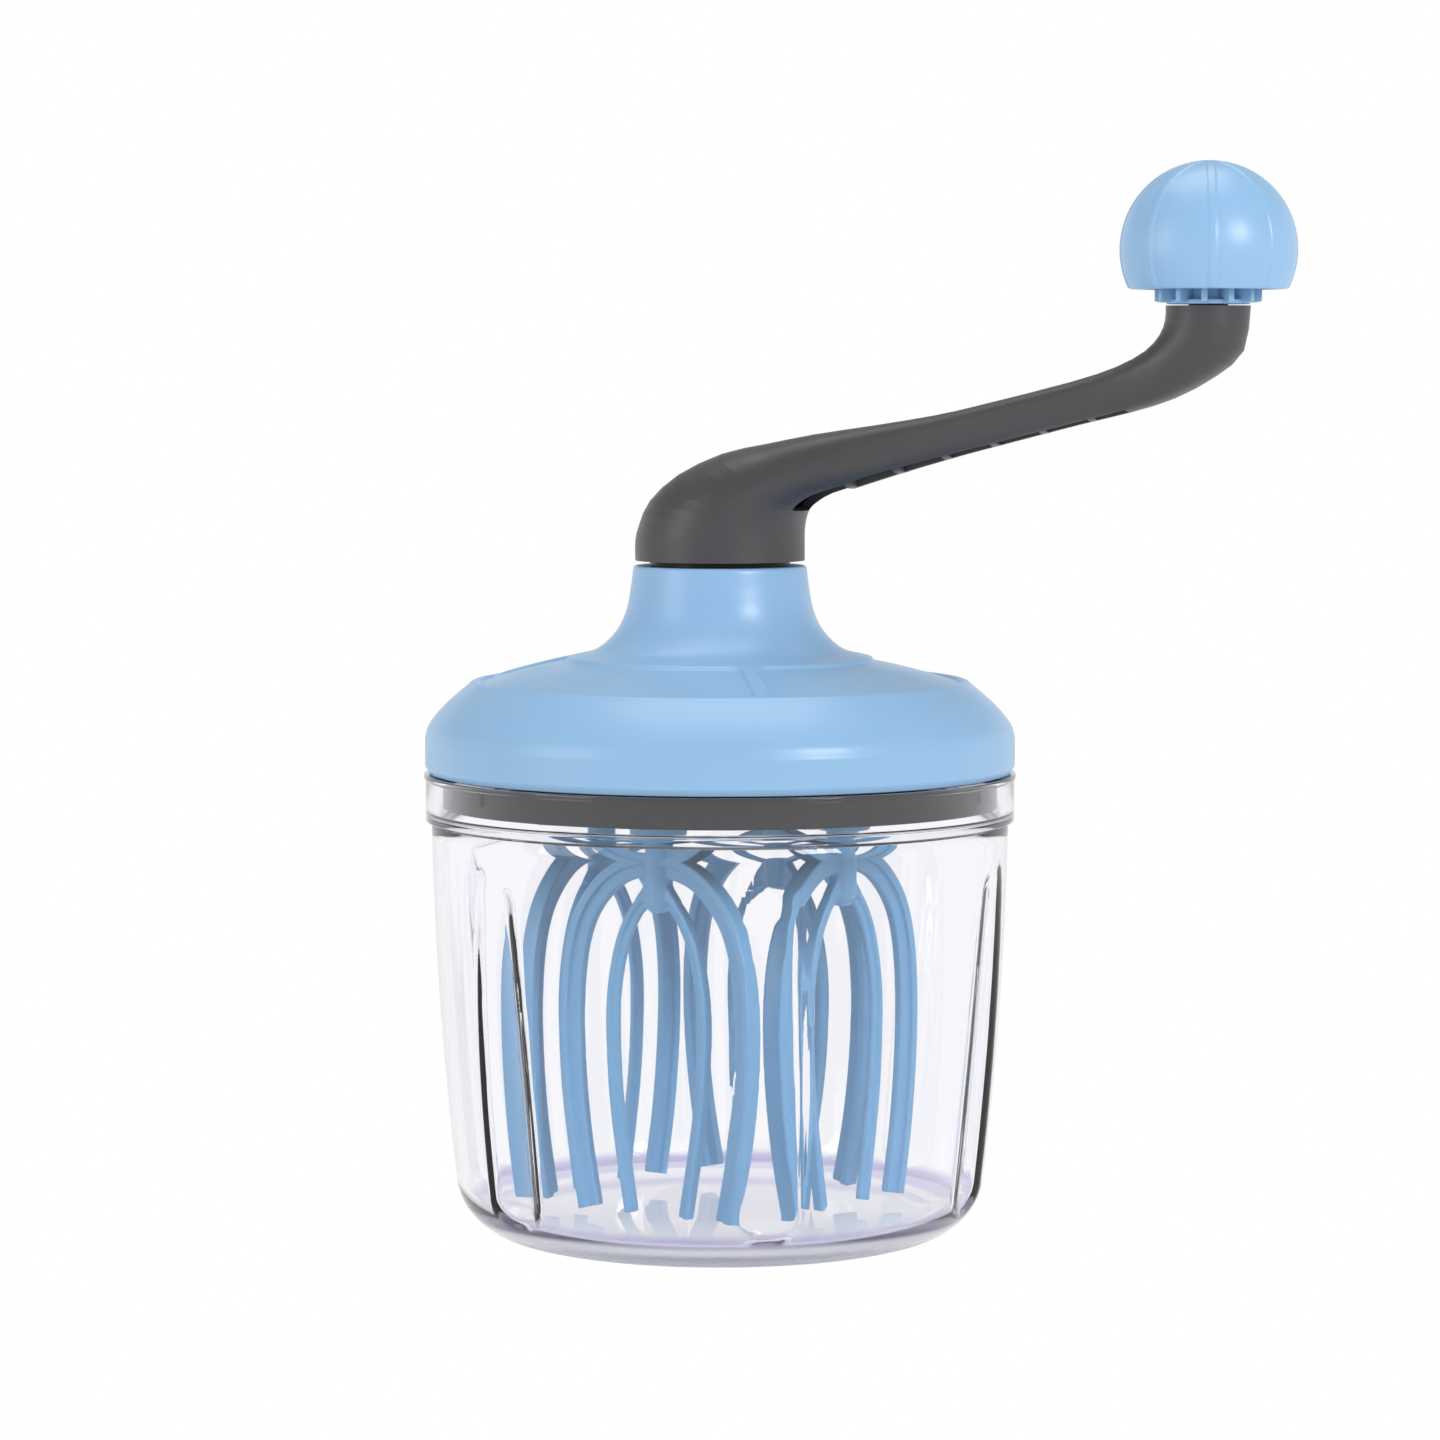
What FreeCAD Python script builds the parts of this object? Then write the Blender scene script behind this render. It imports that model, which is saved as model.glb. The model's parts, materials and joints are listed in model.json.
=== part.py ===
import FreeCAD, Part
import math
import os

# Hand-cranked egg beater: a clear bowl, a blue lid with a planetary drive inside it, and four
# forked whisks. The crank turns a carrier. Four planet gears on the carrier roll round a fixed
# ring gear, and each of them spins one whisk.
# Millimetres, +Z up. The origin is the centre of the bowl's underside. At rest the crank arm
# points along +X.

V = FreeCAD.Vector
FIT = 0.06                     # radial running clearance of a shaft in its hole
GAP = 0.3                      # free space between parts that move past each other
BELOW = -10.0                  # heights under and over everything, for cuts that go right through
ABOVE = 270.0

# bowl
BOWL_HEIGHT = 110.0
BOWL_FOOT_R = 48.0
BOWL_CORNER = 15.0
BOWL_WALL = 2.5
BOWL_FLOOR = 5.0
BOWL_INNER_CORNER = 9.5
BOWL_TOP_R = 68.5              # outside of the wall just under the rim band
BOWL_WAIST_R = 66.7            # outside of the wall half way up
RIM_R = 69.9
RIM_LIP_R = 70.3
RIM_INNER_R = 67.0
RIM_LOW_Z = 99.0
RIM_LIP = 1.0                  # height of the thin lip round the mouth
RIM_SLOPE = 0.4                # rise of the small slope under the lip
SEAT_Z = 101.3                 # ledge inside the rim
FLUTE_COUNT = 6
FLUTE_R = 14.0                 # roundness of the ribs inside the wall
FLUTE_LOW_Z = 13.0
FLUTE_LOW_DEPTH = 3.3
FLUTE_TOP_Z = 82.0
FLUTE_TOP_DEPTH = 1.4
FLUTE_TOP_BACK = 0.4           # the wall is this much inside its top radius at the flute's top

# lid
LID_R = 70.0
LID_WALL = 2.4
LID_BOTTOM_Z = BOWL_HEIGHT + GAP
LID_TOP_Z = 159.1
NECK_TOP_R = 20.6
LID_SIDE_TOP_Z = 118.4
SHOULDER_R = 59.6              # where the rounded shoulder meets the dome
SHOULDER_Z = 131.0
NECK_FOOT_R = 35.5             # where the dome meets the sweep into the neck
NECK_FOOT_Z = 137.5
PANEL_OUTER_R = 59.0
PANEL_DEPTH = 0.9
PANEL_CORNER = 3.0
PANEL_RIB = 3.5
PANEL_COUNT = 3
PANEL_FIRST_RIB = -60.0        # angle of the first rib between two panels
LID_WEBS = 6                   # thin webs that stiffen the neck from inside
LID_WEB = 1.8
LID_WEB_LOW_Z = 126.0
LID_WEB_FIRST = 30.0

# dark collar under the lid
COLLAR_R = 66.0
COLLAR_WALL = 2.4
COLLAR_BOTTOM_Z = 102.5
COLLAR_TOP_Z = 114.0
COLLAR_FLOOR = 2.5
COLLAR_HOLE_R = 53.0
SNAP_COUNT = 3
SNAP_FIRST = -6.0
SNAP_WIDTH = 5.0
SNAP_DEPTH = 2.0
SNAP_PROUD = 0.7
SNAP_LOW_Z = 105.2
SNAP_TOP_Z = 108.4

# planetary gears
MODULE = 1.6
PRESSURE = math.radians(20.0)
PLANET_TEETH = 20
RING_TEETH = 60
BACKLASH = 0.16
RING_GEAR_R = 54.6             # outside of the ring gear above its flange
RING_FLANGE = 2.0
ORBIT_R = MODULE * (RING_TEETH - PLANET_TEETH) / 2.0
PLANET_COUNT = 4
PLANET_FIRST = -6.4            # angle of the first whisk round the bowl
GEAR_LOW_Z = 105.4
GEAR_WIDTH = 6.0
SPINDLE_R = 7.0
JOURNAL_R = 5.0
SOCKET = 6.4                   # across the flats of the square socket for a whisk

# carrier
CARRIER_R = 52.0
CARRIER_LOW_Z = COLLAR_BOTTOM_Z
CARRIER_THICK = 2.2
COVER_LOW_Z = 111.7
COVER_THICK = 2.2
COVER_R = 45.0
PILLAR_R = 4.2
CARRIER_HUB_R = 8.0
CARRIER_HUB_TOP_Z = 114.3
CARRIER_SCREW_LENGTH = 7.0

# drive shaft and its bushes
SHAFT_R = 4.0
SHAFT_LOW_Z = 106.6
SHAFT_TOP_Z = 179.5
SHAFT_FLAT = 6.4               # across the two flats at each end
BUSH_R = 6.0
BUSH_LOW_Z = 115.0
BUSH_FLANGE = 2.0
BUSH_FLANGE_R = 9.0
BUSH_LENGTH = 12.0
BOSS_R = 8.5
SHAFT_SCREW_R = 2.0
SHAFT_SCREW_LENGTH = 8.0
SHAFT_SCREW_HEAD_R = 3.6
SHAFT_SCREW_HEAD_Z = 102.8
SHAFT_SCREW_HEAD = 2.0
SHAFT_WASHER_R = 4.8
SHAFT_WASHER = 0.6

# screws
SCREW_R = 1.5
SCREW_HEAD_R = 2.8
SCREW_HEAD = 1.8
SCREW_SLOT = (3.4, 0.8, 1.6)   # length, width and twice the depth of the cross in a head
SCREW_SINK = 1.2               # how deep a lid screw's head sits in the collar
SCREW_BOSS_R = 3.4
LID_SCREW_COUNT = 6
LID_SCREW_ORBIT = 59.4
LID_SCREW_LENGTH = 16.0
LID_SCREW_FIRST = 10.0

# crank
HUB_R = 20.1
HUB_LOW_Z = 160.3
HUB_BOSS_R = 8.0
HUB_BOSS_TOP_Z = 180.8
WASHER_R = 16.6
CRANK_WALL = 2.2
CHANNEL_HALF = 6.6             # widest half width of the open channel under the arm
CHANNEL_DROP = 12.0            # how far the channel's cutting shape reaches below the arm
CHANNEL_LIP = 0.25             # the channel's walls are thicker than the hub's by this
ARM_RIB = 1.5
ARM_RIB_COUNT = 7
ARM_RIB_FIRST = 34.0
ARM_RIB_PITCH = 11.6
ARM_SPINE = 2.4                # web along the middle of the channel, which joins the ribs
POST_X = 118.4
POST_R = 9.7
POST_TOP_Z = 220.1
# Stations of the crank from its foot to the post: the top of the section (x, z), its bottom (x, z), its
# half width, and how square it is (2 is an ellipse).
CRANK_STATIONS = [
    (-HUB_R, HUB_LOW_Z, HUB_R, HUB_LOW_Z, HUB_R, 2.0),
    (-20.1, 165.0, 20.1, 164.0, 20.1, 2.0),
    (-19.1, 168.8, 20.1, 167.2, 20.0, 2.0),
    (-16.3, 174.5, 20.4, 169.9, 19.4, 2.05),
    (-9.2, 180.7, 21.2, 172.2, 18.0, 2.1),
    (1.7, 185.7, 23.0, 173.8, 15.8, 2.2),
    (12.4, 188.0, 26.5, 175.6, 13.2, 2.35),
    (24.3, 190.3, 33.5, 177.6, 10.9, 2.6),
    (39.2, 192.5, 44.0, 180.9, 8.6, 3.0),
    (53.9, 194.9, 57.0, 184.7, 7.5, 3.1),
    (64.8, 197.3, 67.5, 187.5, 7.0, 3.2),
    (86.5, 202.7, 89.0, 193.0, 6.4, 3.2),
    (97.3, 206.2, 100.3, 195.7, 6.4, 3.0),
    (104.2, 209.9, 110.5, 198.9, 7.2, 2.7),
    (107.5, 213.6, 120.0, 203.9, 8.6, 2.3),
    (108.6, 217.0, 126.6, 209.8, 9.5, 2.0),
    (POST_X - POST_R, POST_TOP_Z, POST_X + POST_R, POST_TOP_Z, POST_R, 2.0),
]
HUB_HOLLOW_X = 26.0            # the hub's hollow ends at the section whose top is here
CHANNEL_FIRST_X = -9.5         # the channel's first and last sections, measured at their tops
CHANNEL_LAST_X = 98.0
SECTION_POINTS = 20

# knob
KNOB_R = 20.0
KNOB_WALL = 2.2
KNOB_CENTRE_Z = 232.8
KNOB_CUT_Z = 223.8
KNOB_SEAMS = 4
KNOB_SEAM = 1.7
KNOB_SEAM_FIRST = 70.0
KNOB_SEAM_RISE = 0.25
SPIGOT_R = 4.5
SPIGOT_TOP_Z = 238.0
KNOB_DISC_R = 15.5
KNOB_DISC_LOW_Z = 224.4
KNOB_DISC_TOP_Z = 226.0
KNOB_WASHER_R = 6.4
KNOB_WASHER = 1.0
KNOB_SCREW_LENGTH = 13.0
HUB_FINS = 12
HUB_FIN_FIRST = 10.0
FIN_THICK = 1.4
FIN_R = 12.2
KNOB_TUBE_R = 7.0
KNOB_RING_R = 9.6
KNOB_RING_Z = 221.6

# whisks
WHISK_TIP_Z = 9.5
WHISK_COLLAR_R = 6.6
WHISK_COLLAR_LOW_Z = 97.6
WHISK_COLLAR_TOP_Z = 100.4
STEM_R = 3.4
STEM_LOW_Z = 81.0
WHISK_PLUG = 6.2               # across the flats of the plug on top
WHISK_PLUG_TOP_Z = 109.4
# Section of a tine, a T: width in the paddle's plane, thickness of the crossbar, its depth, web thickness.
OUTER_TINE = (5.4, 1.8, 4.4, 2.4)
INNER_TINE = (3.2, 1.3, 2.8, 1.6)
PADDLE_EVEN = 72.0             # angle of the first and third paddle's plane
# Middle line of a tine: distance from the whisk's axis, height.
OUTER_LINE = [(0.0, 91.4), (11.0, 88.3), (19.2, 81.0), (23.6, 71.5), (25.4, 58.0), (25.1, 42.0),
              (23.2, 25.0), (20.0, WHISK_TIP_Z)]
INNER_LINE = [(0.0, 83.5), (4.5, 81.5), (8.0, 77.0), (10.8, 70.5), (12.9, 60.0), (13.1, 48.0),
              (11.8, 32.0), (7.8, WHISK_TIP_Z)]


# ---- plain shapes -------------------------------------------------------------------------

def rod(radius, low, high, x=0.0, y=0.0):
    """Upright cylinder."""
    return Part.makeCylinder(radius, high - low, V(x, y, low))


def tube(outer, inner, low, high, x=0.0, y=0.0):
    """Upright tube."""
    return rod(outer, low, high, x, y).cut(rod(inner, low, high, x, y))


def block(size_x, size_y, low, high, x=0.0, y=0.0):
    """Upright box centred on x, y."""
    return Part.makeBox(size_x, size_y, high - low, V(x - size_x / 2, y - size_y / 2, low))


def turned(shape, degrees, x=0.0, y=0.0):
    """Copy of a shape, turned about an upright axis."""
    copy = shape.copy()
    copy.rotate(V(x, y, 0), V(0, 0, 1), degrees)
    return copy


def moved(shape, x, y, z=0.0):
    """Copy of a shape, moved."""
    copy = shape.copy()
    copy.translate(V(x, y, z))
    return copy


def round_axis(radius, degrees):
    """Plan position at a radius and an angle."""
    return (radius * math.cos(math.radians(degrees)), radius * math.sin(math.radians(degrees)))


def ring_angles(count, first):
    """Equal angles round a circle."""
    return [first + 360.0 * k / count for k in range(count)]


def joined(shapes):
    """One solid from several that touch or overlap."""
    result = shapes[0].fuse(shapes[1:]) if len(shapes) > 1 else shapes[0]
    return result.removeSplitter()


# ---- profiles in the XZ plane ----------------------------------------------------------------

def point(pair):
    """Profile point (radius, height) in space."""
    return V(pair[0], 0, pair[1])


def line(*pairs):
    """Straight runs through profile points."""
    return [Part.makeLine(point(a), point(b)) for a, b in zip(pairs, pairs[1:])]


def arc(start, middle, end):
    """Arc through three profile points."""
    return [Part.Arc(point(start), point(middle), point(end)).toShape()]


def corner(centre, radius, start_deg, end_deg):
    """Arc about a centre, from one angle to another."""
    places = [(centre[0] + radius * math.cos(math.radians(a)), centre[1] + radius * math.sin(math.radians(a)))
              for a in (start_deg, (start_deg + end_deg) / 2, end_deg)]
    return arc(*places)


def spline(*pairs):
    """Smooth curve through profile points."""
    curve = Part.BSplineCurve()
    curve.interpolate([point(p) for p in pairs])
    return [curve.toShape()]


def spun(edges, degrees=360.0):
    """Solid of revolution of a closed profile about Z."""
    face = Part.Face(Part.Wire(Part.__sortEdges__(edges)))
    return face.revolve(V(0, 0, 0), V(0, 0, 1), degrees)


# ---- bowl ---------------------------------------------------------------------------------

def bowl_outside():
    """Solid with the bowl's outer shape."""
    side_r = BOWL_FOOT_R + BOWL_CORNER
    edges = line((0, BOWL_HEIGHT), (0, 0), (BOWL_FOOT_R, 0))
    edges += corner((BOWL_FOOT_R, BOWL_CORNER), BOWL_CORNER, -90, 0)
    wall_top = (BOWL_TOP_R, RIM_LOW_Z - 2 * RIM_SLOPE)
    edges += arc((side_r, BOWL_CORNER), (BOWL_WAIST_R, BOWL_HEIGHT / 2), wall_top)
    edges += line(wall_top, (RIM_R, RIM_LOW_Z), (RIM_R, BOWL_HEIGHT - RIM_LIP - RIM_SLOPE),
                  (RIM_LIP_R, BOWL_HEIGHT - RIM_LIP), (RIM_LIP_R, BOWL_HEIGHT), (0, BOWL_HEIGHT))
    return spun(edges)


def bowl_hollow():
    """Solid with the bowl's inner shape, before its flutes."""
    inner = BOWL_FOOT_R + BOWL_CORNER - BOWL_WALL
    radius = BOWL_INNER_CORNER
    top = ABOVE
    wall_top = (BOWL_TOP_R - BOWL_WALL, SEAT_Z - 2 * RIM_SLOPE)
    edges = line((0, top), (0, BOWL_FLOOR), (inner - radius, BOWL_FLOOR))
    edges += corner((inner - radius, BOWL_FLOOR + radius), radius, -90, 0)
    edges += arc((inner, BOWL_FLOOR + radius), (BOWL_WAIST_R - BOWL_WALL, BOWL_HEIGHT / 2), wall_top)
    edges += line(wall_top, (RIM_INNER_R, SEAT_Z), (RIM_INNER_R, top), (0, top))
    return spun(edges)


def flute():
    """Rounded rib on the inside of the wall, following the wall's slope, at angle 0."""
    low = V(BOWL_FOOT_R + BOWL_CORNER - BOWL_WALL - FLUTE_LOW_DEPTH + FLUTE_R, 0, FLUTE_LOW_Z)
    high = V(BOWL_TOP_R - BOWL_WALL - FLUTE_TOP_DEPTH + FLUTE_R - FLUTE_TOP_BACK, 0, FLUTE_TOP_Z)
    along = high.sub(low)
    bar = Part.makeCylinder(FLUTE_R, along.Length, low, along)
    return bar.fuse(Part.makeSphere(FLUTE_R, high)).fuse(Part.makeSphere(FLUTE_R, low))


def make_bowl():
    hollow = bowl_hollow()
    for angle in ring_angles(FLUTE_COUNT, 0):
        hollow = hollow.cut(turned(flute(), angle))
    return bowl_outside().cut(hollow)


# ---- lid ----------------------------------------------------------------------------------

def lid_outside():
    """Solid with the lid's outer shape: a low dome that sweeps up into the neck."""
    edges = line((0, LID_TOP_Z), (0, LID_BOTTOM_Z), (LID_R - 1, LID_BOTTOM_Z), (LID_R, LID_BOTTOM_Z + 1.6),
                 (LID_R, LID_SIDE_TOP_Z))
    edges += spline((LID_R, LID_SIDE_TOP_Z), (69.1, 121.4), (66.4, 124.9), (63.2, 128.0),
                    (SHOULDER_R, SHOULDER_Z))
    edges += spline((SHOULDER_R, SHOULDER_Z), (53.0, 133.2), (44.0, 135.6), (NECK_FOOT_R, NECK_FOOT_Z))
    edges += spline((NECK_FOOT_R, NECK_FOOT_Z), (29.4, 139.2), (24.8, 143.3), (22.3, 148.2), (21.2, 153.6),
                    (NECK_TOP_R, LID_TOP_Z))
    edges += line((NECK_TOP_R, LID_TOP_Z), (0, LID_TOP_Z))
    return spun(edges)


def lid_hollow():
    """Solid with the shape of the space under the dome and in the neck."""
    low = LID_BOTTOM_Z - 1
    roof = LID_TOP_Z - LID_WALL
    neck = NECK_TOP_R - LID_WALL
    skirt = LID_R - LID_WALL + 0.2
    edges = line((0, roof), (0, low), (skirt, low), (skirt, 118.0))
    edges += spline((skirt, 118.0), (65.8, 121.2), (62.6, 125.0), (57.6, 128.2))
    edges += line((57.6, 128.2), (33.0, 134.4))
    edges += spline((33.0, 134.4), (27.4, 137.0), (22.6, 142.0), (20.2, 147.0), (neck, roof))
    edges += line((neck, roof), (0, roof))
    return spun(edges)


def is_upright(edge):
    """True for an edge that runs along Z."""
    return abs(edge.Vertexes[0].Point.sub(edge.Vertexes[-1].Point).normalize().z) > 0.99


def lid_panel():
    """Shallow recess in the dome between two radial ribs, centred on angle 0."""
    floor_in = (NECK_FOOT_R, NECK_FOOT_Z - PANEL_DEPTH)
    floor_out = (PANEL_OUTER_R, SHOULDER_Z - PANEL_DEPTH)
    sweep = 360.0 / PANEL_COUNT
    edges = line(floor_in, floor_out, (PANEL_OUTER_R, LID_TOP_Z), (NECK_FOOT_R, LID_TOP_Z), floor_in)
    band = turned(spun(edges, sweep), -sweep / 2)
    trim = block(2 * LID_R, PANEL_RIB, BELOW, ABOVE)
    sector = band.cut([turned(trim, sweep / 2), turned(trim, -sweep / 2)])
    upright = [edge for edge in sector.Edges if is_upright(edge)]
    return sector.makeFillet(PANEL_CORNER, upright)


def screw_boss(angle):
    """Post that a lid screw bites into, reaching up into the dome's roof."""
    x, y = round_axis(LID_SCREW_ORBIT, angle)
    return rod(SCREW_BOSS_R, COLLAR_BOTTOM_Z + COLLAR_FLOOR + RING_FLANGE, SHOULDER_Z - 1, x, y)


def make_lid_dome():
    outside = lid_outside()
    solid = outside.cut(lid_hollow())
    web = NECK_TOP_R - LID_WALL
    inside = [rod(BOSS_R, BUSH_LOW_Z + BUSH_FLANGE, LID_TOP_Z - 1)]
    inside += [turned(block(web, LID_WEB, LID_WEB_LOW_Z, LID_TOP_Z - 1, web / 2), angle)
               for angle in ring_angles(LID_WEBS, LID_WEB_FIRST)]
    inside += [screw_boss(angle) for angle in ring_angles(LID_SCREW_COUNT, LID_SCREW_FIRST)]
    solid = solid.fuse([piece.common(outside) for piece in inside])
    rib_middle = PANEL_FIRST_RIB + 180.0 / PANEL_COUNT
    solid = solid.cut([turned(lid_panel(), angle) for angle in ring_angles(PANEL_COUNT, rib_middle)])
    solid = solid.cut([rod(BUSH_R, BELOW, ABOVE), rod(BUSH_FLANGE_R, LID_TOP_Z - BUSH_FLANGE, ABOVE)])
    screw_top = COLLAR_BOTTOM_Z + SCREW_SINK + LID_SCREW_LENGTH + GAP
    holes = [rod(SCREW_R, BELOW, screw_top, *round_axis(LID_SCREW_ORBIT, angle))
             for angle in ring_angles(LID_SCREW_COUNT, LID_SCREW_FIRST)]
    return solid.cut(holes).removeSplitter()


def make_collar_ring():
    """Dark ring that closes the lid from below and fits inside the bowl's rim."""
    inner = COLLAR_R - COLLAR_WALL
    solid = tube(COLLAR_R, inner, COLLAR_BOTTOM_Z, COLLAR_TOP_Z)
    solid = solid.fuse(tube(inner + 0.5, COLLAR_HOLE_R, COLLAR_BOTTOM_Z, COLLAR_BOTTOM_Z + COLLAR_FLOOR))
    lug_x = COLLAR_R + SNAP_PROUD - SNAP_DEPTH / 2
    lug = block(SNAP_DEPTH, SNAP_WIDTH, SNAP_LOW_Z, SNAP_TOP_Z, lug_x)
    solid = solid.fuse([turned(lug, angle) for angle in ring_angles(SNAP_COUNT, SNAP_FIRST)])
    for angle in ring_angles(LID_SCREW_COUNT, LID_SCREW_FIRST):
        x, y = round_axis(LID_SCREW_ORBIT, angle)
        solid = solid.cut(rod(SCREW_R, BELOW, ABOVE, x, y))
        solid = solid.cut(rod(SCREW_HEAD_R + GAP, BELOW, COLLAR_BOTTOM_Z + SCREW_SINK, x, y))
    return solid.removeSplitter()


def screw(x, y, seat, tip, upward=True):
    """Pan-head screw. The head stands outside the seat and the shank reaches the tip."""
    sign = 1 if upward else -1
    head = Part.makeCylinder(SCREW_HEAD_R, SCREW_HEAD, V(x, y, seat), V(0, 0, -sign))
    shank = Part.makeCylinder(SCREW_R, abs(tip - seat), V(x, y, seat), V(0, 0, sign))
    length, width, depth = SCREW_SLOT
    cross = [block(length, width, -depth / 2, depth / 2), block(width, length, -depth / 2, depth / 2)]
    return head.fuse(shank).cut([moved(slot, x, y, seat - sign * SCREW_HEAD) for slot in cross])


def make_lid_screws():
    seat = COLLAR_BOTTOM_Z + SCREW_SINK
    places = [round_axis(LID_SCREW_ORBIT, angle) for angle in ring_angles(LID_SCREW_COUNT, LID_SCREW_FIRST)]
    return Part.makeCompound([screw(x, y, seat, seat + LID_SCREW_LENGTH) for x, y in places])


def make_bush(low, flange_low):
    """Plain bearing with a flange."""
    body = tube(BUSH_R, SHAFT_R + FIT, low, low + BUSH_LENGTH)
    flange = tube(BUSH_FLANGE_R, SHAFT_R + FIT, flange_low, flange_low + BUSH_FLANGE)
    return joined([body, flange])


# ---- gears --------------------------------------------------------------------------------

def involute(angle):
    return math.tan(angle) - angle


def tooth_half_angle(teeth, radius, thinning):
    """Half the angle that a tooth fills at a radius."""
    pitch_r = MODULE * teeth / 2.0
    roll = math.acos(min(1.0, pitch_r * math.cos(PRESSURE) / radius))
    return math.pi / (2 * teeth) - thinning / (2 * pitch_r) + involute(PRESSURE) - involute(roll)


def on_circle(radius, angle):
    return V(radius * math.cos(angle), radius * math.sin(angle), 0)


def toothed_face(teeth, root, tip, thinning):
    """Outline of an external gear with one tooth centred on angle 0."""
    base = max(root, MODULE * teeth / 2.0 * math.cos(PRESSURE))
    pitch = 2 * math.pi / teeth
    edges = []
    for number in range(teeth):
        centre = number * pitch
        foot, middle, top = [tooth_half_angle(teeth, r, thinning) for r in (base, (base + tip) / 2, tip)]
        left = [on_circle(base, centre - foot), on_circle((base + tip) / 2, centre - middle),
                on_circle(tip, centre - top)]
        right = [on_circle(base, centre + foot), on_circle((base + tip) / 2, centre + middle),
                 on_circle(tip, centre + top)]
        if root < base:
            edges.append(Part.makeLine(on_circle(root, centre - foot), left[0]))
            edges.append(Part.makeLine(right[0], on_circle(root, centre + foot)))
        edges.append(Part.Arc(*left).toShape())
        edges.append(Part.Arc(left[2], on_circle(tip, centre), right[2]).toShape())
        edges.append(Part.Arc(*right).toShape())
        edges.append(Part.Arc(on_circle(root, centre + foot), on_circle(root, centre + pitch / 2),
                              on_circle(root, centre + pitch - foot)).toShape())
    return Part.Face(Part.Wire(Part.__sortEdges__(edges)))


def make_ring_gear():
    """Fixed internal gear with a flange that the lid screws pass through."""
    low = COLLAR_BOTTOM_Z + COLLAR_FLOOR
    pitch_r = MODULE * RING_TEETH / 2.0
    cutter = toothed_face(RING_TEETH, pitch_r - 0.9 * MODULE, pitch_r + 1.3 * MODULE, -BACKLASH)
    teeth_space = moved(turned(cutter, PLANET_FIRST), 0, 0, low - 1).extrude(V(0, 0, GEAR_WIDTH + 4))
    rim = rod(RING_GEAR_R, low, GEAR_LOW_Z + GEAR_WIDTH + GAP)
    solid = rim.fuse(rod(COLLAR_R - COLLAR_WALL - GAP, low, low + RING_FLANGE)).cut(teeth_space)
    holes = [rod(SCREW_R, BELOW, ABOVE, *round_axis(LID_SCREW_ORBIT, angle))
             for angle in ring_angles(LID_SCREW_COUNT, LID_SCREW_FIRST)]
    return solid.cut(holes).removeSplitter()


def make_planet_gear(angle):
    """Planet gear with a spindle below that holds a whisk, and a journal above."""
    pitch_r = MODULE * PLANET_TEETH / 2.0
    face = toothed_face(PLANET_TEETH, pitch_r - 1.2 * MODULE, pitch_r + MODULE, BACKLASH)
    gear = moved(face, 0, 0, GEAR_LOW_Z).extrude(V(0, 0, GEAR_WIDTH))
    spindle = rod(SPINDLE_R, WHISK_COLLAR_TOP_Z, GEAR_LOW_Z)
    journal = rod(JOURNAL_R, GEAR_LOW_Z + GEAR_WIDTH, COVER_LOW_Z + COVER_THICK)
    socket = block(SOCKET, SOCKET, BELOW, WHISK_PLUG_TOP_Z + 2 * GAP)
    solid = gear.fuse([spindle, journal]).cut(socket).removeSplitter()
    return moved(turned(solid, angle), *round_axis(ORBIT_R, angle))


# ---- carrier and drive ----------------------------------------------------------------------

def double_flat(radius, across, low, high):
    """Round bar with two flats."""
    return rod(radius, low, high).common(block(across, 3 * radius, low, high))


def make_carrier_plate():
    """Plate under the planet gears, with a hub for the shaft and four pillars."""
    top = CARRIER_LOW_Z + CARRIER_THICK
    pillars = [rod(PILLAR_R, CARRIER_LOW_Z, COVER_LOW_Z, *round_axis(ORBIT_R, angle))
               for angle in ring_angles(PLANET_COUNT, PLANET_FIRST + 45)]
    hub = rod(CARRIER_HUB_R, CARRIER_LOW_Z, CARRIER_HUB_TOP_Z)
    solid = rod(CARRIER_R, CARRIER_LOW_Z, top).fuse(pillars + [hub])
    for angle in ring_angles(PLANET_COUNT, PLANET_FIRST):
        solid = solid.cut(rod(SPINDLE_R + FIT, BELOW, GEAR_LOW_Z, *round_axis(ORBIT_R, angle)))
        solid = solid.cut(rod(SCREW_R, top, ABOVE, *round_axis(ORBIT_R, angle + 45)))
    washer_top = SHAFT_SCREW_HEAD_Z + SHAFT_SCREW_HEAD + SHAFT_WASHER
    solid = solid.cut([double_flat(SHAFT_R, SHAFT_FLAT, SHAFT_LOW_Z, ABOVE),
                       rod(SHAFT_WASHER_R + GAP, BELOW, washer_top), rod(SHAFT_SCREW_R, BELOW, ABOVE)])
    return solid.removeSplitter()


def make_carrier_cover():
    """Plate that holds the planet gears' upper ends."""
    solid = tube(COVER_R, CARRIER_HUB_R + FIT, COVER_LOW_Z, COVER_LOW_Z + COVER_THICK)
    for angle in ring_angles(PLANET_COUNT, PLANET_FIRST):
        solid = solid.cut(rod(JOURNAL_R + FIT, BELOW, ABOVE, *round_axis(ORBIT_R, angle)))
        solid = solid.cut(rod(SCREW_R, BELOW, ABOVE, *round_axis(ORBIT_R, angle + 45)))
    return solid


def make_carrier_screws():
    seat = COVER_LOW_Z + COVER_THICK
    places = [round_axis(ORBIT_R, angle) for angle in ring_angles(PLANET_COUNT, PLANET_FIRST + 45)]
    tip = seat - CARRIER_SCREW_LENGTH
    return Part.makeCompound([screw(x, y, seat, tip, upward=False) for x, y in places])


def make_drive_shaft():
    """Steel shaft from the carrier up into the crank's hub, with flats at both ends."""
    solid = rod(SHAFT_R, SHAFT_LOW_Z, SHAFT_TOP_Z)
    for low, high in ((SHAFT_LOW_Z, CARRIER_HUB_TOP_Z + GAP), (HUB_LOW_Z, SHAFT_TOP_Z)):
        solid = solid.cut(rod(SHAFT_R, low, high).cut(double_flat(SHAFT_R, SHAFT_FLAT, low, high)))
    return solid.cut(rod(SHAFT_SCREW_R, BELOW, SHAFT_LOW_Z + SHAFT_SCREW_LENGTH + GAP)).removeSplitter()


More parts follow.
